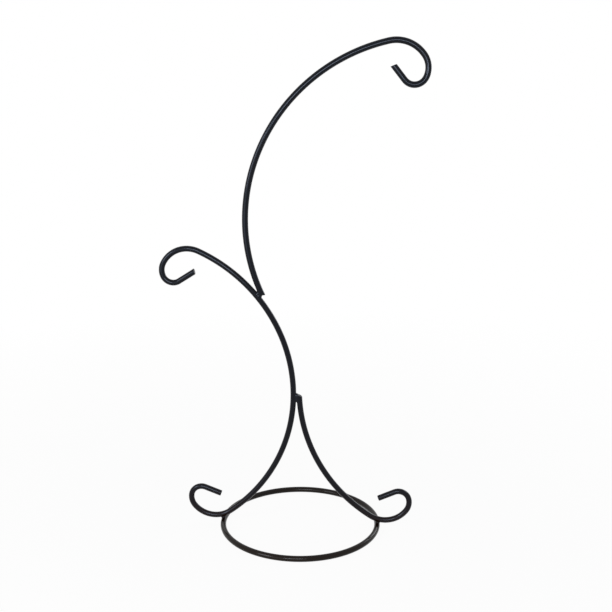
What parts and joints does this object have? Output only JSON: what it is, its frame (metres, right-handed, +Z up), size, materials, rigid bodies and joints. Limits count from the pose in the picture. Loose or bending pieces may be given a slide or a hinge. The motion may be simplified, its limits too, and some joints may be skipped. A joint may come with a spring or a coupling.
{
  "type": "hanging plant stand",
  "caption": "Slim stand of bent round rod on a ring base; a curved stem and a taller arm each end in a scroll hook for hanging a small plant, pot or ornament.",
  "frame": {"origin": "on the ground, at the centre of the base ring", "axes": "+Z up, the way the stem rises; +X along the plane of the bent rods, from the stem's foot to the leg's foot; +Y square to that plane"},
  "size_m": [0.2231, 0.141, 0.4181],
  "materials": {
    "rod_coat": "semi-gloss black coat over steel rod",
    "weld_coat": "semi-gloss black coat over weld metal"
  },
  "bodies": {
    "root": {"base_ring": "rod_coat", "stem": "rod_coat", "leg": "rod_coat", "top_arm": "rod_coat", "leg_weld": "weld_coat", "arm_weld": "weld_coat", "left_foot_weld": "weld_coat", "right_foot_weld": "weld_coat", "ring_seam_weld": "weld_coat"}
  },
  "joints": []
}
